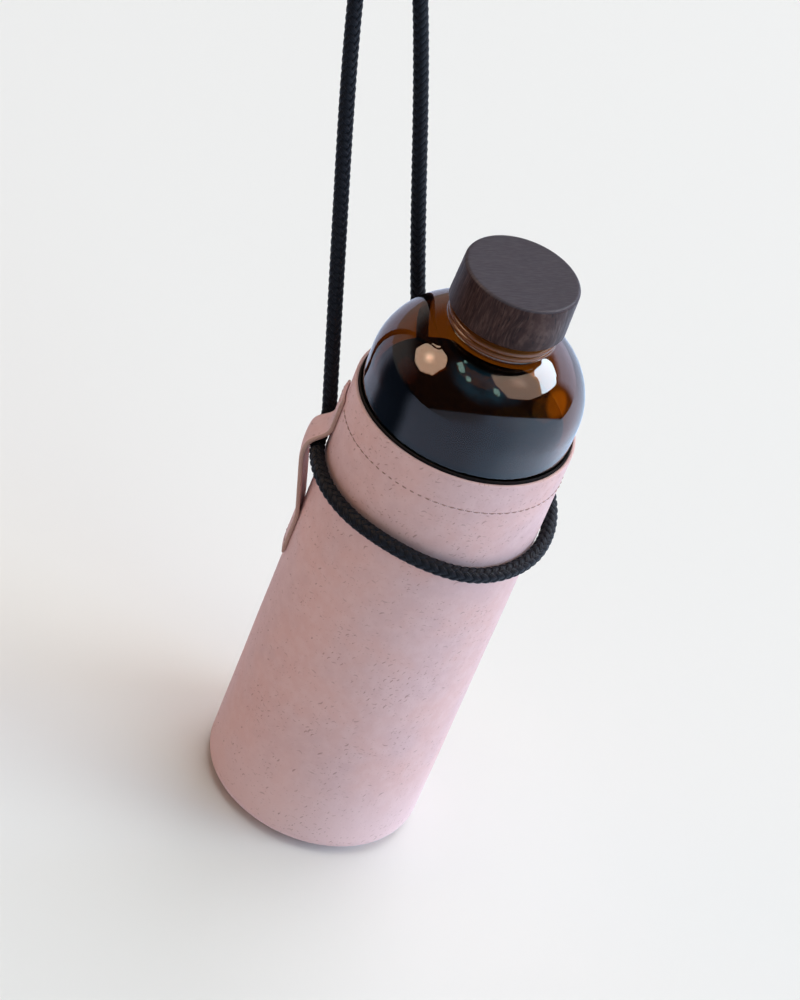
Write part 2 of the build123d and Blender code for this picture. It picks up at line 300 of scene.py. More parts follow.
# Lamps: name, azimuth from +X, elevation, width seen from the bottle, and red, green and blue level
LIGHT_AIM = Vector((0, 0, 0.205))
LIGHT_DISTANCE = 8.0
LAMPS = [
    ("low_window", 9, 22, 34, (3.8, 5.15, 6.15)),
    ("front_fill", -35, 25, 40, (0.9, 1.3, 1.45)),
    ("warm_fill", 190, 10, 30, (1.25, 0.44, 0.14)),
    ("overhead", 10, 88, 40, (3.1, 3.05, 3.0)),
    ("back_fill", 70, 45, 50, (1.76, 1.78, 1.95)),
    ("high_window", 20, 40, 26, (1.8, 1.4, 0.75)),
    ("cool_edge", -14, 15, 26, (0.1, 0.8, 2.3)),
]

# Studio panels that only reflections show, each by the directions of its corners
OCTAGON = [
    (-0.88, -0.08, 0.47),
    (-0.83, 0.13, 0.54),
    (-0.65, 0.26, 0.71),
    (-0.48, 0.26, 0.84),
    (-0.42, 0.06, 0.90),
    (-0.47, -0.19, 0.86),
    (-0.65, -0.41, 0.64),
    (-0.82, -0.31, 0.47),
]
CARD = [
    (0.05, 0.20, 0.97),
    (0.12, 0.50, 0.86),
    (0.24, 0.61, 0.75),
    (0.40, 0.50, 0.77),
    (0.74, 0.18, 0.64),
    (0.69, -0.06, 0.72),
    (0.48, -0.28, 0.83),
    (0.22, -0.12, 0.97),
]
WINDOW = [
    (0.20, 0.69, 0.70),
    (0.25, 0.76, 0.60),
    (0.36, 0.75, 0.55),
    (0.54, 0.66, 0.52),
    (0.68, 0.52, 0.51),
    (0.74, 0.26, 0.62),
    (0.72, 0.20, 0.66),
    (0.48, 0.39, 0.79),
]
FAR_PANES = [
    [(-0.19, 0.42, 0.89), (-0.11, 0.48, 0.87), (-0.13, 0.18, 0.98), (-0.21, 0.12, 0.97)],
    [(-0.30, 0.03, 0.95), (-0.23, 0.12, 0.97), (-0.19, -0.12, 0.97), (-0.26, -0.19, 0.95)],
    [(-0.17, -0.21, 0.96), (-0.10, -0.21, 0.97), (-0.09, -0.32, 0.94), (-0.14, -0.35, 0.93)],
    [(0.22, -0.22, 0.95), (0.30, -0.20, 0.93), (0.38, -0.35, 0.86), (0.28, -0.35, 0.89)],
]

# Panels: name, outlines, colour, strength, and how much brighter the middle is
PANELS = [
    ("octabox", [OCTAGON], (1.0, 0.64, 0.42, 1), 8.3, 2.5),
    ("card", [CARD], (1.0, 0.68, 0.50, 1), 3.7, 1.7),
    ("window", [WINDOW], (0.79, 0.92, 1.0, 1), 17.0, 1.0),
    ("far_panes", FAR_PANES, (0.62, 1.0, 0.86, 1), 4.5, 1.0),
]


def make_node(kind, inputs, owner=None, **settings):
    """Adds a shader node to the tree of its owner, or else of the sockets that it takes."""
    taken = [value for value in inputs.values() if isinstance(value, bpy.types.NodeSocket)]
    tree = (owner or taken[0]).id_data
    made = tree.nodes.new("ShaderNode" + kind)
    for key, value in settings.items():
        setattr(made, key, value)
    for key, value in inputs.items():
        if isinstance(value, bpy.types.NodeSocket):
            tree.links.new(value, made.inputs[key])
        else:
            made.inputs[key].default_value = value
    return made


def new_material(name, **sockets):
    """A Principled material with its constant sockets set, its shader, and places in metres."""
    material = bpy.data.materials.new(name)
    material.use_nodes = True
    shader = material.node_tree.nodes["Principled BSDF"]
    for key, value in sockets.items():
        shader.inputs[key.replace("_", " ")].default_value = value
    return material, shader, make_node("TexCoord", {}, shader).outputs["Object"]


def connect(node, **sockets):
    """Links values to a node's sockets."""
    for key, value in sockets.items():
        node.id_data.links.new(value, node.inputs[key.replace("_", " ")])


def mapped(places, **inputs):
    """Places turned or stretched."""
    return make_node("Mapping", {"Vector": places, **inputs}).outputs["Vector"]


def parts_of(places):
    """The X, Y and Z of places."""
    return make_node("SeparateXYZ", {"Vector": places}).outputs


def attribute(owner, name):
    """A value that the mesh holds at each point."""
    return make_node("Attribute", {}, owner, attribute_name=name).outputs["Fac"]


def noise_value(places, scale, detail=3.0, roughness=0.5):
    """A smooth random value from 0 to 1."""
    inputs = {"Vector": places, "Scale": scale, "Detail": detail, "Roughness": roughness}
    return make_node("TexNoise", inputs).outputs["Fac"]


def remap(value, low, high, to_low=0.0, to_high=1.0):
    """Value from low to high becomes to_low to to_high, eased and held at both ends."""
    inputs = {"Value": value, "From Min": low, "From Max": high, "To Min": to_low, "To Max": to_high}
    return make_node("MapRange", inputs, interpolation_type="SMOOTHSTEP").outputs["Result"]


def math_value(operation, first, second=0.0):
    """One arithmetic step on two values."""
    return make_node("Math", {0: first, 1: second}, operation=operation).outputs["Value"]


def product(first, second):
    """Two values multiplied."""
    return math_value("MULTIPLY", first, second)


def vector_step(operation, first, second=(0, 0, 0)):
    """One step on two vectors: returns the outputs, Vector and Value."""
    return make_node("VectorMath", {0: first, 1: second}, operation=operation).outputs


def mix_colour(factor, first, second):
    """Two colours mixed by a factor: of the Mix node's sockets, 6, 7 and 2 are for colours."""
    return make_node("Mix", {0: factor, 6: first, 7: second}, data_type="RGBA").outputs[2]


def bump(height, distance, strength=1.0, under=None):
    """A bumped normal from a height value."""
    inputs = {"Height": height, "Distance": distance, "Strength": strength}
    if under is not None:
        inputs["Normal"] = under
    return make_node("Bump", inputs).outputs["Normal"]


def emission(colour, strength=1.0, owner=None):
    """A plain glow."""
    return make_node("Emission", {"Color": colour, "Strength": strength}, owner).outputs["Emission"]


def mix_shader(factor, first, second):
    """Two shaders mixed by a factor."""
    return make_node("MixShader", {0: factor, 1: first, 2: second}).outputs["Shader"]


def way_share(direction, way):
    """How nearly a direction points one way: 1 along it and -1 against it."""
    return vector_step("DOT_PRODUCT", direction, way)["Value"]


def bearing_share(direction, azimuth):
    """How nearly a direction points to an azimuth: 1 towards it and -1 away from it."""
    level = vector_step("MULTIPLY", direction, (1, 1, 0))["Vector"]
    unit = vector_step("NORMALIZE", level)["Vector"]
    angle = radians(azimuth)
    return way_share(unit, (cos(angle), sin(angle), 0))


def wall_places(places):
    """Places on the sleeve's wall, unrolled: distance round it and height, split at the seam."""
    parts = parts_of(places)
    angle = math_value("ARCTAN2", parts["X"], product(parts["Y"], -1.0))
    around = product(angle, SLEEVE_RADIUS)
    inputs = {"X": around, "Y": parts["Z"], "Z": 0.0}
    return make_node("CombineXYZ", inputs).outputs["Vector"]


def dash_mask(places, cell, length, width, share):
    """Short bent dashes at random angles, one in that share of all cells; all in metres."""
    cells = make_node(
        "TexVoronoi",
        {"Vector": places, "Scale": 1 / cell, "Randomness": 0.9},
        voronoi_dimensions="2D",
        feature="F1",
    ).outputs
    chance = make_node("SeparateColor", {"Color": cells["Color"]}).outputs
    local = vector_step("SUBTRACT", places, cells["Position"])["Vector"]
    angle = remap(chance["Green"], 0.0, 1.0, 0.35, -1.15)
    inputs = {"Vector": local, "Angle": angle}
    turned = make_node("VectorRotate", inputs, rotation_type="Z_AXIS").outputs["Vector"]
    parts = parts_of(turned)
    square = product(parts["X"], parts["X"])
    bend = remap(chance["Blue"], 0.0, 1.0, -0.5 / length, 0.7 / length)
    across = math_value("ADD", parts["Y"], product(square, bend))
    reach = remap(chance["Red"], 0.0, share, length, length * 0.4)
    along = math_value("DIVIDE", parts["X"], reach)
    aside = math_value("DIVIDE", across, width)
    distance = math_value("ADD", product(along, along), product(aside, aside))
    spot = remap(distance, 1.0, 0.3)
    chosen = remap(chance["Red"], share, share - 0.02)
    strength = remap(chance["Green"], 0.0, 1.0, 0.5, 1.0)
    return product(product(spot, chosen), strength)


def sheet_material(name, flat=False):
    """The sleeve's pressed sheet: dusty pink, mottled, with clustered dark flecks."""
    material, shader, places = new_material(name, Specular_IOR_Level=0.25)
    spread = places if flat else wall_places(places)

    cloud = noise_value(places, 40.0, 3.0)
    mottle = noise_value(places, 230.0, 4.0, 0.6)
    base = mix_colour(remap(cloud, 0.35, 0.65), SHEET_PINK, SHEET_GREY)
    base = mix_colour(remap(mottle, 0.35, 0.7, 0.0, 0.4), base, SHEET_PALE)

    height = parts_of(places)["Z"]
    # Painted light: the sheet brightens towards the foot, standing in for light bounced up from the
    # floor
    base = mix_colour(remap(height, FOOT_LIGHT_FADE, 0.0, 0.0, 0.75), base, SHEET_FOOT_LIGHT)
    # Painted highlight: a pale line along the foot crease, standing in for light caught by the fold
    from_crease = math_value("ABSOLUTE", math_value("SUBTRACT", height, CREASE_HEIGHT))
    crease_highlight = remap(from_crease, CREASE_WIDTH, 0.0, 0.0, 0.45)
    base = mix_colour(crease_highlight, base, SHEET_CREASE_HIGHLIGHT)

    clusters = remap(noise_value(places, 75.0, 2.0), 0.40, 0.62, 0.2, 1.0)
    dashes = dash_mask(spread, *FLECKS)
    small = dash_mask(spread, *SMALL_FLECKS)
    large = dash_mask(spread, *LARGE_FLECKS)
    flecks = math_value("MAXIMUM", dashes, product(small, 0.8))
    flecks = product(flecks, clusters)
    base = mix_colour(product(flecks, 0.58), base, FLECK_BROWN)
    base = mix_colour(product(large, 0.48), base, FLECK_DARK)
    # Cut edges: their own darker tone, deepened by painted shade
    base = mix_colour(attribute(shader, "cut_edge"), base, SHEET_CUT_SHADED)

    grain = noise_value(places, 1500.0, 2.0)
    soft = bump(mottle, 0.0002, 0.35, bump(grain, 0.00006, 0.5))
    sunk = math_value("SUBTRACT", 1.0, math_value("MAXIMUM", flecks, large))
    roughness = remap(grain, 0.2, 0.8, 0.52, 0.7)
    connect(shader, Base_Color=base, Roughness=roughness, Normal=bump(sunk, 0.00004, 0.3, soft))
    return material


def wood_material():
    """The cap's wood: stained almost black, its fine grain in upright planes, with a painted sheen
    on its flat top.
    """
    material, shader, places = new_material(
        "stained_wood", Specular_IOR_Level=0.10, Coat_Weight=0.05, Coat_Roughness=0.25
    )
    turned = mapped(places, Rotation=(0, 0, radians(WOOD_TURN)))
    inputs = {"Vector": turned, "Scale": 38.0, "Detail": 2.0}
    sway = make_node("TexNoise", inputs).outputs["Color"]
    shift = vector_step("MULTIPLY", sway, WOOD_SWAY)["Vector"]
    swayed = vector_step("ADD", turned, shift)["Vector"]
    fibre_places = mapped(swayed, Scale=(0.10, 1.0, 0.07))
    ring_places = mapped(swayed, Scale=(0.16, 1.0, 0.10))
    fibre = noise_value(fibre_places, 2600.0, 3.0, 0.6)
    rings = noise_value(ring_places, 620.0, 3.0, 0.55)
    pores = remap(noise_value(fibre_places, 4200.0, 1.0), 0.6, 0.74)
    base = mix_colour(remap(rings, 0.35, 0.68), WOOD_DARK, WOOD_BROWN)
    base = mix_colour(remap(fibre, 0.42, 0.75, 0.0, 0.6), base, WOOD_FIBRE)
    base = mix_colour(product(pores, 0.8), base, WOOD_PORE)
    # Painted sheen: the flat top takes cooler, paler tones, standing in for light mirrored off it
    height = parts_of(places)["Z"]
    sheen_low, sheen_high = (CAP_HIGH.z - drop for drop in WOOD_TOP_SHEEN_FADE)
    flat = remap(height, sheen_low, sheen_high, 0.0, 0.85)
    face = mix_colour(remap(fibre, 0.3, 0.7), WOOD_TOP_SHEEN_DARK, WOOD_TOP_SHEEN_PALE)
    base = mix_colour(flat, base, face)
    roughness = remap(fibre, 0.2, 0.8, 0.55, 0.38)
    groove = bump(fibre, 0.00009, 0.55)
    connect(shader, Base_Color=base, Roughness=roughness, Normal=bump(rings, 0.00015, 0.4, groove))
    return material


def glass_material():
    """Clear amber glass, coloured by the thickness that light goes through, with duller ribs whose
    amber colour is painted light shining through the collar.
    """
    material, shader, places = new_material("amber_glass", Specular_Tint=GLASS_SHINE, IOR=GLASS_IOR)
    height = parts_of(places)["Z"]
    level = vector_step("MULTIPLY", places, (1, 1, 0))["Vector"]
    reach = vector_step("LENGTH", level)["Value"]
    ribs = product(remap(reach, *RIBS_REACH), remap(height, *RIBS_FOOT))
    ribs = product(ribs, remap(height, *RIBS_TOP, 1.0, 0.0))
    clearness = remap(ribs, 0.0, 1.0, 1.0, 0.4)
    slow = bump(noise_value(places, 30.0, 1.0), 0.0005, 0.25)
    normal = bump(noise_value(places, 260.0, 1.0), 0.00002, 0.3, slow)
    # Painted light: the ribs are partly opaque amber, standing in for light shining through them
    tint = mix_colour(ribs, GLASS_CLEAR, GLASS_RIB_GLOW)
    roughness = remap(ribs, 0.0, 1.0, 0.012, 0.22)
    connect(shader, Base_Color=tint, Roughness=roughness, Normal=normal)
    connect(shader, Transmission_Weight=clearness)
    absorb = make_node("VolumeAbsorption", {"Color": GLASS_AMBER, "Density": GLASS_DENSITY}, shader)
    connect(shader.id_data.nodes["Material Output"], Volume=absorb.outputs["Volume"])
    return material


def cord_material():
    """Black braided polyester: fine yarns along each strand, with a cool sheen."""
    material, shader, places = new_material(
        "black_braid",
        Specular_IOR_Level=0.12,
        Sheen_Weight=0.035,
        Sheen_Roughness=0.45,
        Sheen_Tint=(0.60, 0.63, 0.75, 1),
    )
    ridge = math_value("SINE", product(attribute(shader, "yarn"), 8 * pi))
    fuzz = noise_value(places, 2400.0, 2.0)
    patch = noise_value(places, 60.0, 2.0)
    base = mix_colour(remap(fuzz, 0.3, 0.75), CORD_BLACK, CORD_FUZZ)
    base = mix_colour(remap(patch, 0.4, 0.65, 0.0, 0.3), base, CORD_PATCH)
    roughness = remap(fuzz, 0.2, 0.8, 0.42, 0.62)
    yarns = bump(ridge, 0.00005, 0.7)
    connect(shader, Base_Color=base, Roughness=roughness, Normal=bump(fuzz, 0.00004, 0.5, yarns))
    return material


def thread_material():
    """Sewing thread, a little darker than the sheet."""
    material, shader, places = new_material("sewing_thread", Sheen_Weight=0.2)
    twist = noise_value(places, 5200.0, 2.0)
    base = mix_colour(remap(twist, 0.3, 0.7), THREAD_DARK, THREAD_PALE)
    roughness = remap(twist, 0.2, 0.8, 0.55, 0.8)
    connect(shader, Base_Color=base, Roughness=roughness, Normal=bump(twist, 0.00004, 0.6))
    return material


def hole_material():
    """The needle holes at the ends of the stitches, with their shade painted dark."""
    material, shader, places = new_material("needle_hole", Specular_IOR_Level=0.1)
    depth = noise_value(places, 3000.0, 1.0)
    base = mix_colour(depth, HOLE_SHADE_DARK, HOLE_SHADE_PALE)
    connect(shader, Base_Color=base, Roughness=remap(depth, 0.0, 1.0, 0.8, 0.95))
    return material


def woven_material(name, dark, pale, scale, sheen):
    """A fine cloth or felt with a woven grain."""
    material, shader, places = new_material(
        name, Sheen_Weight=sheen, Sheen_Roughness=0.5, Specular_IOR_Level=0.15
    )
    inputs = {"Vector": places, "Scale": scale, "Distortion": 0.6}
    weft = make_node("TexWave", inputs, bands_direction="Z").outputs["Fac"]
    fluff = noise_value(places, scale * 4, 3.0)
    height = math_value("ADD", product(weft, 0.5), fluff)
    base = mix_colour(remap(height, 0.3, 1.1), dark, pale)
    roughness = remap(fluff, 0.2, 0.8, 0.75, 0.95)
    connect(shader, Base_Color=base, Roughness=roughness, Normal=bump(height, 0.0001, 0.6))
    return material


def moulded_material(name, dark, pale, rough):
    """Plain moulded plastic or silicone with a faint cloudy skin."""
    material, shader, places = new_material(name, Specular_IOR_Level=0.4)
    skin = noise_value(places, 1800.0, 2.0)
    base = mix_colour(noise_value(places, 160.0, 3.0), dark, pale)
    roughness = remap(skin, 0.2, 0.8, rough, rough + 0.15)
    connect(shader, Base_Color=base, Roughness=roughness, Normal=bump(skin, 0.00003, 0.4))
    return material


def table_colour(direction):
    """The table as glossy surfaces mirror it: dark to the left, bright to the window side."""
    share = bearing_share(direction, TABLE_BRIGHT_AZIMUTH)
    dark = remap(bearing_share(direction, TABLE_DARK_AZIMUTH), 0.86, 0.97)
    colour = mix_colour(remap(share, 0.0, 0.6), TABLE_MID, TABLE_BLUE)
    colour = mix_colour(remap(share, 0.5, 0.97), colour, TABLE_BRIGHT)
    return mix_colour(dark, colour, TABLE_DARK)


def room_colour(bearing):
    """What glossy surfaces mirror of the room above the floor."""
    rise = parts_of(bearing)["Z"]
    patches = remap(noise_value(bearing, 2.6, 2.0), 0.40, 0.62, 0.45, 1.0)
    teal = remap(way_share(bearing, TEAL_WAY), 0.80, 0.97)
    colour = mix_colour(product(patches, teal), ROOM_DARK, ROOM_TEAL)
    haze = remap(bearing_share(bearing, HAZE_AZIMUTH), 0.3, 0.8)
    haze = product(haze, remap(rise, 0.30, 0.60, 1.0, 0.0))
    colour = mix_colour(haze, colour, ROOM_HAZE)
    glow = remap(bearing_share(bearing, GLOW_AZIMUTH), 0.90, 0.97)
    glow = product(glow, remap(rise, 0.40, 0.54, 1.0, 0.0))
    colour = mix_colour(glow, colour, ROOM_GLOW)
    amber = remap(way_share(bearing, AMBER_WAY), 0.955, 0.985)
    colour = mix_colour(amber, colour, ROOM_AMBER)
    above = math_value("ADD", way_share(bearing, TABLE_EDGE), TABLE_EDGE_DROP)
    far = remap(bearing_share(bearing, TABLE_FAR_AZIMUTH), 0.70, 0.95)
    far = product(far, remap(above, -0.38, -0.10))
    table = mix_colour(far, table_colour(bearing), TABLE_FAR)
    return mix_colour(remap(above, -0.02, 0.02, 1.0, 0.0), colour, table)


def seen_straight(ray):
    """1 for what the camera sees, straight or through the glass."""
    return math_value("MAXIMUM", ray["Is Camera Ray"], ray["Is Transmission Ray"])


def floor_material():
    """The plain pale floor, which glossy surfaces mirror as the table and which fades far off."""
    material, shader, places = new_material(
        "floor", Base_Color=FLOOR_TONE, Specular_IOR_Level=0.0, Roughness=1.0
    )
    ray = make_node("LightPath", {}, shader).outputs
    distance = vector_step("LENGTH", places)["Value"]
    far = product(seen_straight(ray), remap(distance, *FLOOR_FADE))
    faded = mix_shader(far, shader.outputs["BSDF"], emission(WORLD_PALE, owner=shader))
    mirrored = emission(table_colour(places))
    mixed = mix_shader(ray["Is Glossy Ray"], faded, mirrored)
    connect(shader.id_data.nodes["Material Output"], Surface=mixed)
    material.cycles.emission_sampling = "NONE"
    return material


def glow_material(name, colour, strength, core):
    """A lit panel, brighter by the core's factor at its middle."""
    material = bpy.data.materials.new(name)
    material.use_nodes = True
    tree = material.node_tree
    tree.nodes.clear()
    output = tree.nodes.new("ShaderNodeOutputMaterial")
    level = remap(attribute(output, "middle"), 0.55, 1.0, strength, strength * core)
    connect(output, Surface=emission(colour, level))
    return material


def add_object(name, data):
    """A new object in the scene."""
    made = bpy.data.objects.new(name, data)
    bpy.context.scene.collection.objects.link(made)
    return made


def make_object(name, vertices, faces, material, sharp=None, attributes=None):
    """A mesh object with smooth faces, sharp past the given angle, and point attributes."""
    mesh = bpy.data.meshes.new(name)
    mesh.from_pydata([tuple(v) for v in vertices], [], faces)
    for key, values in (attributes or {}).items():
        mesh.attributes.new(key, "FLOAT", "POINT").data.foreach_set("value", values)
    mesh.shade_smooth()
    if sharp is not None:
        mesh.set_sharp_from_angle(angle=radians(sharp))
    mesh.materials.append(material)
    return add_object(name, mesh)


def dress(piece, body, slot, *replaced):
    """The piece moves with its body and stands for CAD nodes, which it hides; its slot is not used.
    """
    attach(piece, body)
    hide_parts(*replaced)


def paint(node, material):
    """Gives a CAD node that stays in view its detailed material."""
    mesh = nodes[node].data
    mesh.materials.clear()
    mesh.materials.append(material)
    mesh.shade_smooth()
    mesh.set_sharp_from_angle(angle=radians(35))


def round_angles(count):
    """Angles in radians that divide a full turn."""
    return [2 * pi * number / count for number in range(count)]


def grid_faces(rows, columns, wrap_rows=False, wrap_columns=False, start=0):
    """Quads over a grid of points in rows."""
    faces = []
    for row in range(rows if wrap_rows else rows - 1):
        for column in range(columns if wrap_columns else columns - 1):
            here = start + row * columns
            there = start + (row + 1) % rows * columns
            beside = (column + 1) % columns
            faces.append((here + column, here + beside, there + beside, there + column))
    return faces


def tube_faces(rows, sides, start=0):
    """The faces of a closed tube: its wall and its two ends."""
    last = start + (rows - 1) * sides
    faces = grid_faces(rows, sides, wrap_columns=True, start=start)
    faces.append(tuple(reversed(range(start, start + sides))))
    faces.append(tuple(range(last, last + sides)))
    return faces


def dome_faces(sides, start):
    """The faces over two rings of points and the middle point that follows them."""
    inner = start + sides
    faces = grid_faces(2, sides, wrap_columns=True, start=start)
    for side in range(sides):
        faces.append((inner + side, inner + (side + 1) % sides, inner + sides))
    return faces


def turned_over(faces):
    """The same faces seen from their other side."""
    return [tuple(reversed(face)) for face in faces]


def arc(centre, radius, start, end, steps):
    """Points (r, z) on an arc, angles in degrees from the +r direction."""
    points = []
    for step in range(steps + 1):
        angle = radians(start + (end - start) * step / steps)
        points.append((centre[0] + radius * cos(angle), centre[1] + radius * sin(angle)))
    return points


def line_to(points, last, steps):
    """Adds a straight run to a list of (r, z) points."""
    first = points[-1]
    for step in range(1, steps + 1):
        points.append(tuple(a + (b - a) * step / steps for a, b in zip(first, last)))


def lathe(name, profile, steps, material, sharp, shift=None):
    """A closed profile of (r, z) points turned about the Z axis; it may end on the axis."""
    on_axis = profile[0][0] < 1e-9 and profile[-1][0] < 1e-9
    ring_profile = profile[1:-1] if on_axis else profile
    rings = len(ring_profile)
    vertices = []
    for angle in round_angles(steps):
        for radius, height in ring_profile:
            far = radius if shift is None else shift(angle, radius, height)
            vertices.append((far * cos(angle), far * sin(angle), height))
    faces = grid_faces(steps, rings, wrap_rows=True, wrap_columns=not on_axis)
    if on_axis:
        low, high = len(vertices), len(vertices) + 1
        vertices += [(0, 0, profile[0][1]), (0, 0, profile[-1][1])]
        for step in range(steps):
            here, there = step * rings, (step + 1) % steps * rings
            faces.append((low, here, there))
            faces.append((high, there + rings - 1, here + rings - 1))
    return make_object(name, vertices, turned_over(faces), material, sharp)


def evenly(points, step):
    """Points the same distance apart along a line of short runs."""
    lengths = [0.0]
    for before, after in zip(points, points[1:]):
        lengths.append(lengths[-1] + (after - before).length)
    count = max(2, round(lengths[-1] / step))
    even, index = [], 0
    for number in range(count + 1):
        want = lengths[-1] * number / count
        while index < len(points) - 2 and lengths[index + 1] < want:
            index += 1
        share = (want - lengths[index]) / max(lengths[index + 1] - lengths[index], 1e-12)
        even.append(points[index].lerp(points[index + 1], min(share, 1.0)))
    return even


def along_line(line, index):
    """The direction of a line at one of its points."""
    before, after = line[max(index - 1, 0)], line[min(index + 1, len(line) - 1)]
    return (after - before).normalized()


def route_line(route):
    """The smooth line of an open NURBS spline that has the route as its control points."""
    curve = bpy.data.curves.new("sling_route", "CURVE")
    curve.dimensions = "3D"
    curve.resolution_u = 24
    spline = curve.splines.new("NURBS")
    spline.points.add(len(route) - 1)
    for point, place in zip(spline.points, route):
        point.co = (*place, 1)
    spline.order_u = 3
    spline.use_endpoint_u = True
    holder = bpy.data.objects.new("sling_route", curve)
    mesh = bpy.data.meshes.new_from_object(holder)
    points = [vertex.co.copy() for vertex in mesh.vertices]
    bpy.data.meshes.remove(mesh)
    bpy.data.objects.remove(holder)
    bpy.data.curves.remove(curve)
    return points


def carried_frames(line):
    """(point, tangent, side, up) along a line, turning as little as they can."""
    frames, side = [], None
    for index, point in enumerate(line):
        tangent = along_line(line, index)
        if side is None:
            side = tangent.orthogonal()
        side = (side - tangent * side.dot(tangent)).normalized()
        frames.append((point, tangent, side, tangent.cross(side)))
    return frames


def plait(frames, family, index, middle):
    """One strand of the braid: it winds round the cord, over two strands and under two."""
    lean = radians(PLAIT_ANGLE)
    step = (frames[1][0] - frames[0][0]).length
    rows, across = [], []
    for number, (point, tangent, side, up) in enumerate(frames):
        turn = number * step * tan(lean) / middle
        angle = family * turn + 2 * pi * index / PLAITS
        weave = 2 * index + family * PLAITS * turn / pi
        lift = family * PLAIT_LIFT * cos((weave - 0.5) * pi / 2)
        for section in round_angles(PLAIT_SIDES):
            wide = PLAIT_WIDTH / 2 * copysign(abs(cos(section)) ** 0.8, cos(section))
            high = PLAIT_THICKNESS / 2 * sin(section)
            bearing = angle + wide * cos(lean) / middle
            out = side * cos(bearing) + up * sin(bearing)
            slide = tangent * (-family * wide * sin(lean))
            rows.append(point + slide + out * (middle + lift + high))
            across.append(wide / PLAIT_WIDTH)
    return rows, across


def braided_cord(material):
    """The whole sling: two families of crossing strands round a dark core."""
    line = evenly(route_line(CORD_ROUTE), CORD_STEP)
    frames = carried_frames(line)
    middle = CORD_DIAMETER / 2 - PLAIT_LIFT - PLAIT_THICKNESS / 2
    vertices, faces, yarn = [], [], []
    for family in (1, -1):
        for index in range(PLAITS):
            rows, across = plait(frames, family, index, middle)
            faces += tube_faces(len(frames), PLAIT_SIDES, len(vertices))
            vertices += rows
            yarn += across
    core_radius = middle - PLAIT_THICKNESS / 2
    faces += tube_faces(len(frames), CORE_SIDES, len(vertices))
    for point, tangent, side, up in frames:
        for angle in round_angles(CORE_SIDES):
            vertices.append(point + (side * cos(angle) + up * sin(angle)) * core_radius)
            yarn.append(0.0)
    piece = make_object("sling_cord", vertices, faces, material, attributes={"yarn": yarn})
    dress(piece, "sleeve", "cord", "sling_strands", "sling_ring")


def sleeve_shell(material):
    """The sleeve's sheet: a rolled tube with a turned-in foot, a soft rim and a back seam."""
    outer, inner = SLEEVE_RADIUS, SLEEVE_RADIUS - SHEET
    foot, top = SLEEVE_LOW.z, SLEEVE_HIGH.z
    bend = (outer - FOOT_RADIUS, foot + FOOT_RADIUS)
    profile = [(bend[0] - TURNED_EDGE, foot + SHEET), (bend[0] - TURNED_EDGE, foot)]
    line_to(profile, (bend[0], foot), 6)
    profile += arc(bend, FOOT_RADIUS, -90, 0, 14)[1:]
    line_to(profile, (outer, top - RIM_ROUND), 150)
    profile += arc((outer - RIM_ROUND, top - RIM_ROUND), RIM_ROUND, 0, 90, 4)[1:]
    profile += arc((inner + RIM_ROUND, top - RIM_ROUND), RIM_ROUND, 90, 180, 4)
    line_to(profile, (inner, bend[1]), 60)
    profile += arc(bend, FOOT_RADIUS - SHEET, 0, -90, 10)[1:]
    line_to(profile, profile[0], 6)
    profile.pop()

    def shift(angle, radius, height):
        if radius < inner + RIM_ROUND:
            return radius
        wander = noise.noise(Vector((cos(angle), sin(angle), height * 30)) * 1.3)
        share = min(1.0, (radius - inner) / SHEET)
        far = radius + SHEET_WANDER * wander * share
        aside = abs(angle - radians(SEAM_BEARING)) * radius
        lip = SEAM_LIP * exp(-((aside - SEAM_WIDTH) / SEAM_WIDTH) ** 2)
        groove = SEAM_DEPTH * exp(-((aside / (0.6 * SEAM_WIDTH)) ** 2))
        if height > bend[1]:
            far += (lip - groove) * share
        return min(far, radius + SHEET_PROUD)

    piece = lathe("sleeve_shell", profile, 512, material, 50, shift)
    cut = top - RIM_ROUND * 0.6
    edge = [RIM_CUT if vertex.co.z > cut else 0.0 for vertex in piece.data.vertices]
    piece.data.attributes.new("cut_edge", "FLOAT", "POINT").data.foreach_set("value", edge)
    dress(piece, "sleeve", "sleeve_sheet", "sleeve_wall")


def tab_profile():
    """The strap's own line: (rise above the sleeve, height), from its top end to its foot."""
    top = SLEEVE_HIGH.z - RIM_STITCH_DROP + TAB_TOP_LAP
    bow_top = top - TAB_FLAT - TAB_SLOPE
    corners = [
        (0.0, top),
        (0.0, top - TAB_FLAT),
        (TAB_BOW_RISE, bow_top),
        (TAB_BOW_RISE, bow_top - TAB_BOW),
        (0.0, bow_top - TAB_BOW - TAB_LOWER_SLOPE),
        (0.0, top - TAB_LENGTH),
    ]
    even = evenly([Vector((rise, 0, height)) for rise, height in corners], TAB_STEP)
    smooth = []
    for index in range(len(even)):
        spread = min(index, len(even) - 1 - index, TAB_SMOOTHING)
        part = even[index - spread : index + spread + 1]
        smooth.append(sum(part, Vector()) / len(part))
    return smooth


def tab_section():
    """The strap's outline across its width: (across, lift), its flat sides in many columns."""
    half = TAB_WIDTH / 2
    corners = []
    for corner_x, corner_z, start in ((1, 1, 0), (-1, 1, 90), (-1, -1, 180), (1, -1, 270)):
        centre = (corner_x * (half - TAB_EDGE), corner_z * (TAB_THICKNESS / 2 - TAB_EDGE))
        corners += arc(centre, TAB_EDGE, start, start + 90, 3)
    section = []
    for index, place in enumerate(corners):
        section.append(place)
        following = corners[(index + 1) % len(corners)]
        if abs(following[0] - place[0]) > half:
            line_to(section, following, TAB_COLUMNS)
            section.pop()
    return section


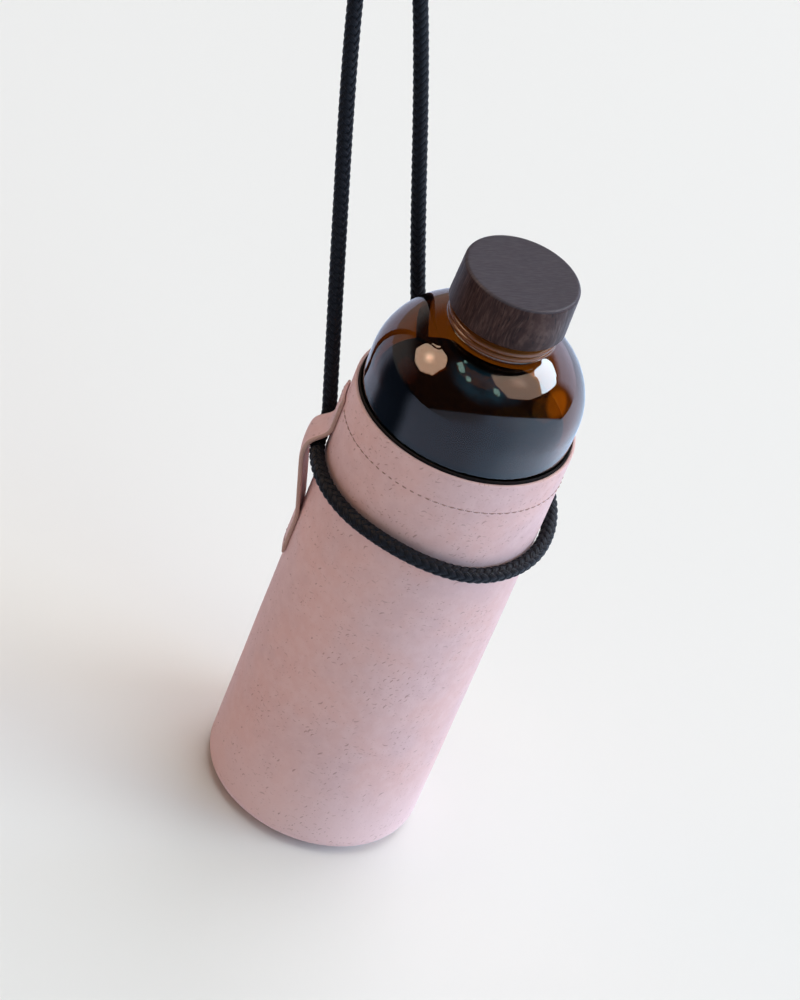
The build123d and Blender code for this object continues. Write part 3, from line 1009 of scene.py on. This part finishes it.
def strap(material):
    """The strap loop: a strip that follows the sleeve and bows out over the cord."""
    line, section = tab_profile(), tab_section()
    half = TAB_WIDTH / 2
    base = SLEEVE_RADIUS + TAB_GAP + TAB_THICKNESS / 2
    vertices, cut = [], []
    for index, point in enumerate(line):
        along = along_line(line, index)
        normal = Vector((-along.z, 0, along.x))
        from_end = min(index, len(line) - 1 - index) * TAB_STEP / TAB_THICKNESS
        thin = TAB_END_SHARE + (1 - TAB_END_SHARE) * min(1.0, from_end)
        for across, lift in section:
            aside = (abs(across) - (half - TAB_CREASE)) / TAB_CREASE_WIDTH
            pressed = TAB_CREASE_DEPTH * exp(-aside * aside) if lift > 0 else 0.0
            rise = lift * thin - pressed
            radius = base + point.x + normal.x * rise
            height = point.z + normal.z * rise
            angle = radians(TAB_BEARING) - across / SLEEVE_RADIUS
            vertices.append((radius * cos(angle), radius * sin(angle), height))
            cut.append(1.0 if abs(across) > half - TAB_EDGE * 1.2 else 0.0)
    faces = turned_over(tube_faces(len(line), len(section)))
    piece = make_object("strap_loop", vertices, faces, material, 45, {"cut_edge": cut})
    dress(piece, "sleeve", "sleeve_sheet", "tab")


def stitch(vertices, faces, middle, along, outward, length, sink):
    """One sewn stitch: a short thread that bows out of the sheet and dives in at both ends."""
    beside = outward.cross(along)
    faces += tube_faces(STITCH_ROWS, STITCH_SIDES, len(vertices))
    for row in range(STITCH_ROWS):
        share = row / (STITCH_ROWS - 1) * 2 - 1
        bow = (1 - share * share) * THREAD_RADIUS * 1.1
        centre = middle + along * (share * length / 2) + outward * (bow - sink)
        size = THREAD_RADIUS * (1 - 0.45 * share**6)
        for angle in round_angles(STITCH_SIDES):
            vertices.append(centre + (outward * sin(angle) + beside * cos(angle)) * size)


def needle_hole(vertices, faces, middle, along, outward):
    """A small needle hole, drawn as a shallow dome that lies on the sheet and painted dark as its
    shade.
    """
    beside = outward.cross(along)
    start = len(vertices)
    for share, lift in ((1.0, -0.25), (0.7, 0.12)):
        for angle in round_angles(HOLE_SIDES):
            around = along * cos(angle) * 1.5 + beside * sin(angle)
            vertices.append(middle + (around * share + outward * lift) * HOLE_RADIUS)
    vertices.append(middle + outward * HOLE_RADIUS * 0.2)
    faces += dome_faces(HOLE_SIDES, start)
    faces.append(tuple(reversed(range(start, start + HOLE_SIDES))))


def sew(name, places, replaced, thread, hole, sink):
    """A row of stitches with their needle holes: places holds (middle, along, outward)."""
    vertices, faces = [], []
    for number, (middle, along, outward) in enumerate(places):
        skew = 0.12 * sin(number * 2.7)
        lean = (along + along.cross(outward) * skew).normalized()
        length = STITCH_LENGTH * (1 + 0.08 * sin(number * 1.9))
        stitch(vertices, faces, middle, lean, outward, length, sink)
    threads = len(faces)
    for middle, along, outward in places:
        for end in (-1, 1):
            spot = middle + along * (end * STITCH_LENGTH * 0.56)
            needle_hole(vertices, faces, spot, along, outward)
    piece = make_object(name, vertices, faces, thread)
    piece.data.materials.append(hole)
    for index, polygon in enumerate(piece.data.polygons):
        polygon.material_index = 0 if index < threads else 1
    dress(piece, "sleeve", "thread", replaced)


def on_sleeve(angle, radius, height):
    """A place on a cylinder with its sideways and outward directions."""
    outward = Vector((cos(angle), sin(angle), 0))
    sideways = Vector((-sin(angle), cos(angle), 0))
    return Vector((outward.x * radius, outward.y * radius, height)), sideways, outward


def stitches(thread, hole):
    """The rim row, the two seam rows and the rows across the strap's ends."""
    height = SLEEVE_HIGH.z - RIM_STITCH_DROP
    bearing = radians(TAB_BEARING)
    tab_half = TAB_WIDTH / 2 / SLEEVE_RADIUS
    pitch = (2 * pi - 2 * tab_half) / (RIM_STITCHES + 1)
    rim = [
        on_sleeve(bearing + tab_half + pitch * (number + 1), SLEEVE_RADIUS, height)
        for number in range(RIM_STITCHES)
    ]
    sew("rim_stitches", rim, "rim_stitching", thread, hole, RIM_STITCH_SINK)

    low = SLEEVE_LOW.z + FOOT_RADIUS + SEAM_STITCH_MARGIN
    count = int((height - SEAM_STITCH_MARGIN - low) / SEAM_STITCH_PITCH)
    seam = []
    for side in (-1, 1):
        angle = radians(SEAM_BEARING) + side * SEAM_ROW_SPACING / 2 / SLEEVE_RADIUS
        for number in range(count + 1):
            place, _, outward = on_sleeve(angle, SLEEVE_RADIUS, low + number * SEAM_STITCH_PITCH)
            seam.append((place, Vector((0, 0, 1)), outward))
    sew("seam_stitches", seam, "seam_stitching", thread, hole, SEAM_STITCH_SINK)

    foot = height + TAB_TOP_LAP - TAB_LENGTH + TAB_STITCH_MARGIN
    radius = SLEEVE_RADIUS + TAB_GAP + TAB_THICKNESS
    arc_half = tab_half * (TAB_STITCHES - 1) / (TAB_STITCHES + 1)
    rows = []
    for level in (height, foot):
        for number in range(TAB_STITCHES):
            angle = bearing - arc_half + 2 * arc_half * number / (TAB_STITCHES - 1)
            rows.append(on_sleeve(angle, radius, level))
    sew("strap_stitches", rows, "tab_stitching", thread, hole, TAB_STITCH_SINK)


def thread_rise(angle, height, neck_top):
    """How far the neck's screw thread stands out at an angle and a height."""
    start = neck_top - THREAD_DROP
    best = 0.0
    for turn in range(2):
        turns = angle / (2 * pi) + turn
        if turns > THREAD_TURNS:
            continue
        near = abs(height - start - THREAD_PITCH * turns) / THREAD_HALF_WIDTH
        fade = max(0.0, min(1.0, turns / THREAD_FADE, (THREAD_TURNS - turns) / THREAD_FADE))
        best = max(best, THREAD_DEPTH * max(0.0, min(1.0, (1.25 - near) / 0.5)) * fade)
    return best


def punt_wave(share):
    """The height of the bottle's pushed-up floor at a share of its radius."""
    return PUNT_DEPTH * (cos(pi * share) + 1) / 2


def glass(material):
    """The bottle: thick walls, a round shoulder, a two-ribbed collar and a threaded neck."""
    floor_low, neck_top = GLASS_LOW.z, GLASS_HIGH.z
    centre_radius = GLASS_RADIUS - SHOULDER_RADIUS
    shoulder = (centre_radius, SHOULDER_START)
    throat_angle = degrees(acos((THROAT_RADIUS - centre_radius) / SHOULDER_RADIUS))
    inner_shoulder = SHOULDER_RADIUS - GLASS_WALL
    bore_angle = degrees(acos((NECK_BORE - centre_radius) / inner_shoulder))
    heel = (GLASS_RADIUS - HEEL_RADIUS, floor_low + HEEL_RADIUS)
    punt = heel[0] - FOOT_RING
    profile = [(0.0, floor_low + PUNT_DEPTH)]
    profile += [(punt * share, floor_low + punt_wave(share)) for share in OUTWARD_SHARES]
    line_to(profile, (heel[0], floor_low), 4)
    profile += arc(heel, HEEL_RADIUS, -90, 0, 20)[1:]
    line_to(profile, (GLASS_RADIUS, SHOULDER_START), 50)
    profile += arc(shoulder, SHOULDER_RADIUS, 0, throat_angle - 4, 60)[1:]

    throat_floor = SHOULDER_START + SHOULDER_RADIUS * sin(radians(throat_angle))
    collar_floor = throat_floor + THROAT_HEIGHT
    fillet = (THROAT_RADIUS + THROAT_FILLET, throat_floor + THROAT_FILLET_RISE)
    profile += arc(fillet, THROAT_FILLET, 250, 180, 8)[1:]
    profile.append((THROAT_RADIUS, collar_floor - THROAT_EASE))
    rib = (COLLAR_HEIGHT - COLLAR_INSET) / COLLAR_RIBS
    rib_centre = COLLAR_RADIUS - rib / 2
    line_to(profile, (rib_centre - COLLAR_UNDERCUT, collar_floor), 3)
    for number in range(COLLAR_RIBS):
        profile += arc((rib_centre, collar_floor + rib * (number + 0.5)), rib / 2, -78, 78, 12)
    collar_top = collar_floor + COLLAR_HEIGHT
    line_to(profile, (rib_centre - COLLAR_INSET, collar_top), 3)
    line_to(profile, (NECK_RADIUS, collar_top), 3)

    lip_height = neck_top - LIP_RADIUS
    line_to(profile, (NECK_RADIUS, lip_height), 60)
    profile += arc((NECK_RADIUS - LIP_RADIUS, lip_height), LIP_RADIUS, 0, 90, 6)[1:]
    profile += arc((NECK_BORE + LIP_RADIUS, lip_height), LIP_RADIUS, 90, 180, 6)
    bore_foot = SHOULDER_START + inner_shoulder * sin(radians(bore_angle))
    line_to(profile, (NECK_BORE, bore_foot + BORE_EASE), 20)
    profile += arc(shoulder, inner_shoulder, bore_angle - 3, 0, 50)
    floor_top = floor_low + GLASS_FLOOR
    inner = GLASS_RADIUS - GLASS_WALL
    corner = (inner - INNER_CORNER, floor_top + INNER_CORNER)
    line_to(profile, (inner, corner[1]), 50)
    profile += arc(corner, INNER_CORNER, 0, -90, 16)[1:]
    profile += [(corner[0] * share, floor_top + punt_wave(share)) for share in INWARD_SHARES]

    def shift(angle, radius, height):
        if height > collar_top and radius > NECK_RADIUS - 1e-6:
            return radius + thread_rise(angle, height, neck_top)
        return radius

    piece = lathe("amber_bottle", profile, 288, material, 40, shift)
    dress(piece, "bottle", "amber_glass", "glass_bottle")


def cap(material):
    """The turned wooden cap: tapered side, rounded top edge and a chamfered foot."""
    bore = INSERT_HIGH.x + CAP_BORE_GAP
    foot, top = CAP_LOW.z, CAP_HIGH.z
    flat = CAP_TOP_RADIUS - CAP_EDGE
    profile = [(0.0, INSERT_HIGH.z)]
    line_to(profile, (bore, INSERT_HIGH.z), 12)
    line_to(profile, (bore, foot), 12)
    line_to(profile, (CAP_FOOT_RADIUS - CAP_CHAMFER, foot), 3)
    line_to(profile, (CAP_FOOT_RADIUS - CAP_FOOT_EASE, foot + CAP_CHAMFER), 4)
    line_to(profile, (CAP_TOP_RADIUS, top - CAP_EDGE), 24)
    profile += arc((flat, top - CAP_EDGE), CAP_EDGE, 0, 90, 12)[1:]
    for share in INWARD_SHARES:
        profile.append((flat * share, top - CAP_TOP_DISH * (1 - share * share)))
    piece = lathe("wooden_cap", profile, 256, material, 35)
    dress(piece, "cap", "cap_wood", "cap_shell")


def panel(name, outlines, material):
    """Lit panels round the bottle that only its reflections show."""
    vertices, faces, middle = [], [], []
    for outline in outlines:
        start = len(vertices)
        corners = [Vector(corner).normalized() * LIGHT_DISTANCE for corner in outline]
        centre = sum(corners, Vector()) / len(corners)
        rings = [[centre + (corner - centre) * share for corner in corners] for share in (1.0, 0.4)]
        vertices += [LIGHT_AIM + place for ring in rings for place in ring] + [LIGHT_AIM + centre]
        middle += [0.0] * len(corners) + [0.6] * len(corners) + [1.0]
        faces += dome_faces(len(corners), start)
    made = make_object(name, vertices, faces, material, attributes={"middle": middle})
    made.visible_camera = False
    made.visible_diffuse = False
    made.visible_shadow = False


def lamp(name, azimuth, elevation, spread, level):
    """A round soft lamp, its direction and spread seen from the bottle in degrees."""
    around, rise = radians(azimuth), radians(elevation)
    away = Vector((cos(around) * cos(rise), sin(around) * cos(rise), sin(rise)))
    data = bpy.data.lights.new(name, "AREA")
    data.shape = "DISK"
    data.size = 2 * LIGHT_DISTANCE * tan(radians(spread / 2))
    data.energy = max(level) * pi * pi * data.size**2 / 4
    data.color = [part / max(level) for part in level]
    made = add_object(name, data)
    made.location = LIGHT_AIM + away * LIGHT_DISTANCE
    made.rotation_mode = "QUATERNION"
    made.rotation_quaternion = away.to_track_quat("Z", "Y")
    made.visible_camera = False
    made.visible_glossy = False


def light():
    """The panels, the lamps and the world round them."""
    for name, outlines, colour, strength, core in PANELS:
        panel(name, outlines, glow_material(name, colour, strength, core))
    for values in LAMPS:
        lamp(*values)
    world = bpy.data.worlds.new("studio")
    bpy.context.scene.world = world
    world.use_nodes = True
    tree = world.node_tree
    tree.nodes.clear()
    output = tree.nodes.new("ShaderNodeOutputWorld")
    bearing = make_node("TexCoord", {}, output).outputs["Generated"]
    ray = make_node("LightPath", {}, output).outputs
    colour = mix_colour(ray["Is Glossy Ray"], WORLD_SOFT, room_colour(bearing))
    colour = mix_colour(seen_straight(ray), colour, WORLD_PALE)
    background = make_node("Background", {"Color": colour, "Strength": 1.0})
    connect(output, Surface=background.outputs["Background"])


def floor():
    """A wide round floor at z = 0."""
    angles = round_angles(FLOOR_SIDES)
    rim = [(FLOOR_REACH * cos(angle), FLOOR_REACH * sin(angle), 0) for angle in angles]
    piece = make_object("floor", rim, [tuple(range(FLOOR_SIDES))], floor_material())


def camera():
    """The photograph's camera, for the upright bottle."""
    elevation, roll = radians(CAMERA_ELEVATION), radians(CAMERA_ROLL)
    level = Matrix(
        (
            (1, 0, 0),
            (0, sin(elevation), -cos(elevation)),
            (0, cos(elevation), sin(elevation)),
        )
    )
    turned = level @ Matrix.Rotation(roll, 3, "Z")
    data = bpy.data.cameras.new("camera")
    data.lens = CAMERA_LENS
    data.sensor_width = CAMERA_SENSOR
    data.sensor_fit = "AUTO"
    data.clip_start = 0.05
    data.clip_end = 200
    made = add_object("camera", data)
    away = Vector((CAMERA_RIGHT, CAMERA_UP, CAMERA_DISTANCE))
    made.matrix_world = Matrix.Translation(CAMERA_AIM + turned @ away) @ turned.to_4x4()
    bpy.context.scene.camera = made


bpy.context.scene.view_settings.view_transform = "Standard"
camera()
floor()
light()

sheet = sheet_material("flecked_sheet")
braided_cord(cord_material())
sleeve_shell(sheet)
strap(sheet)
stitches(thread_material(), hole_material())
glass(glass_material())
cap(wood_material())
paint("sleeve_sole", sheet_material("flecked_sole", flat=True))
# The lining's near-black is partly painted shade of the dark band inside the sleeve's rim
paint("sleeve_lining", woven_material("lining_and_shade", LINING_AND_SHADE_DARK, LINING_AND_SHADE_PALE, 900.0, 0.0))
paint("base_pad", woven_material("felt_pad", FELT_DARK, FELT_PALE, 500.0, 0.4))
paint("cap_insert", moulded_material("moulded_insert", INSERT_DARK, INSERT_PALE, 0.4))
paint("cap_seal", moulded_material("silicone_seal", SEAL_DARK, SEAL_PALE, 0.5))
